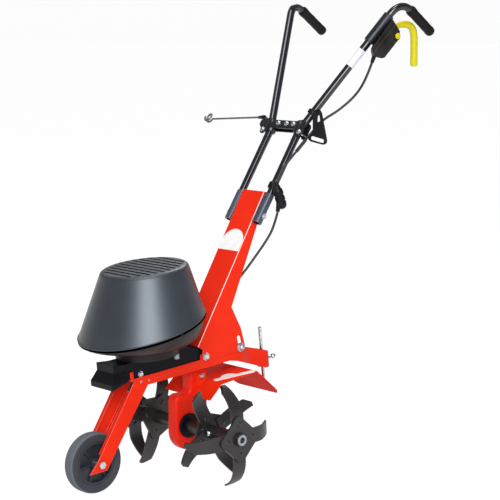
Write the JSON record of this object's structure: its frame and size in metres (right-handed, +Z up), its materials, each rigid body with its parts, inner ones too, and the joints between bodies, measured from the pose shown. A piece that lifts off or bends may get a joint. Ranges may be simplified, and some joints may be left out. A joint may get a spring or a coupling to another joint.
{
  "type": "electric tiller",
  "caption": "Electric garden tiller: slotted motor cowl over a red channel frame, curved tine stars on a worm-driven shaft, front wheel, leaning column and bent handles with a switch lever",
  "frame": {"origin": "on the ground in the centre plane, straight under the tine shaft", "axes": "X to the operator's left, Y to the rear, Z up"},
  "size_m": [0.5525, 0.9582, 1.1118],
  "materials": {
    "red_paint": "red-orange gloss paint on folded steel and castings",
    "black_cover": "black moulded plastic, satin",
    "cowl": "black moulded plastic with a soft grey sheen",
    "motor_metal": "dark cast aluminium",
    "motor_core": "laminated steel with windings",
    "steel": "bright machined steel",
    "zinc": "zinc plated fasteners and rod",
    "fan": "black moulded plastic",
    "belt": "rubber belt",
    "tine_steel": "brown-black painted forged steel",
    "tube_black": "black gloss paint on steel tube",
    "socket_grey": "dark grey moulded sleeves",
    "grip": "ribbed soft grip",
    "switch_black": "black switch housing",
    "yellow": "yellow moulded plastic",
    "tyre": "solid grey-green rubber",
    "wheel_plastic": "dark moulded wheel",
    "cable": "black rubber cord",
    "gland_grey": "light grey plastic"
  },
  "bodies": {
    "machine": {"main_frame": "red_paint", "drive_cover": "black_cover", "motor_base": "motor_metal", "motor_pan": "black_cover", "motor_cowl": "cowl", "cowl_screws": "zinc", "motor_stator": "motor_core", "motor_bracket": "motor_metal", "drive_bearings": "steel", "drive_belt": "belt", "gear_case_left": "red_paint", "gear_case_right": "red_paint", "gear_bearings": "steel", "bearing_caps": "black_cover", "mudguard": "red_paint", "spur_bracket": "red_paint", "fork_left": "red_paint", "fork_right": "red_paint", "wheel_axle": "zinc", "column_bolts": "zinc", "cable_gland": "gland_grey", "frame_bolts": "zinc"},
    "wheel": {"wheel_rim": "wheel_plastic", "wheel_tyre": "tyre"},
    "tines": {"tine_shaft": "steel", "worm_wheel": "steel", "tine_hub_left": "tine_steel", "tine_hub_right": "tine_steel", "tine_outer_left": "tine_steel", "tine_outer_right": "tine_steel", "tine_inner_left": "tine_steel", "tine_inner_right": "tine_steel", "tine_fasteners": "zinc"},
    "motor": {"motor_rotor": "motor_core", "cooling_fan": "fan", "drive_pulley": "steel"},
    "worm": {"worm_shaft": "steel", "driven_pulley": "steel"},
    "handles": {"column": "red_paint", "socket_left": "socket_grey", "socket_right": "socket_grey", "lower_tube_left": "tube_black", "lower_tube_right": "tube_black", "upper_handle_left": "tube_black", "upper_handle_right": "tube_black", "grip_left": "grip", "grip_right": "grip", "crossbar_front": "tube_black", "crossbar_rear": "tube_black", "handle_bolts": "zinc", "switch_box": "switch_black", "cord_hook": "switch_black", "cable_connector": "switch_black", "switch_cable": "cable", "motor_cable": "cable"},
    "lever": {"switch_lever": "yellow"},
    "button": {"lock_button": "yellow"},
    "cord_arm": {"wire_arm": "zinc"},
    "rod": {"depth_rod": "zinc"},
    "screw": {"clamp_screw": "zinc"}
  },
  "joints": [
    {"name": "wheel_spin", "type": "hinge", "parent": "machine", "child": "wheel", "pos_m": [0, -0.263, 0.07], "axis": [1, 0, 0], "continuous": true},
    {"name": "tine_spin", "type": "hinge", "parent": "machine", "child": "tines", "pos_m": [0, 0, 0.12], "axis": [1, 0, 0], "continuous": true},
    {"name": "worm_spin", "type": "hinge", "parent": "machine", "child": "worm", "pos_m": [0, 0.02029, 0.27613], "axis": [0, -0.1045, 0.9945], "continuous": true},
    {"name": "motor_spin", "type": "hinge", "parent": "machine", "child": "motor", "pos_m": [0, -0.10541, 0.30113], "axis": [0, -0.1045, 0.9945], "continuous": true},
    {"name": "column_tilt", "type": "hinge", "parent": "machine", "child": "handles", "pos_m": [0, 0.03414, 0.28402], "axis": [-1, 0, 0], "range_deg": [0, 12]},
    {"name": "depth_slide", "type": "slide", "parent": "machine", "child": "rod", "axis": [0, -0.1045, 0.9945], "range_m": [-0.06, 0.03]},
    {"name": "clamp_turn", "type": "hinge", "parent": "machine", "child": "screw", "pos_m": [0, 0.24234, 0.24517], "axis": [0, 0.9945, 0.1045], "range_deg": [0, 180]},
    {"name": "lever_squeeze", "type": "hinge", "parent": "handles", "child": "lever", "pos_m": [0.1765, 0.497, 1.044], "axis": [1, 0, 0], "range_deg": [0, 10], "stiffness_Nm_per_rad": 0.6, "springref_deg": -5.73},
    {"name": "button_push", "type": "slide", "parent": "handles", "child": "button", "axis": [-1, 0, 0], "range_m": [0, 0.003], "stiffness_N_per_m": 400, "springref_m": -0.001},
    {"name": "arm_swivel", "type": "hinge", "parent": "handles", "child": "cord_arm", "pos_m": [-0.082, 0.30876, 0.80162], "axis": [0, 0.5299, 0.848], "range_deg": [-40, 40]}
  ],
  "couplings": [
    {"joint": "worm_spin", "follows": "tine_spin", "ratio": 10},
    {"joint": "motor_spin", "follows": "tine_spin", "ratio": 19.231}
  ]
}
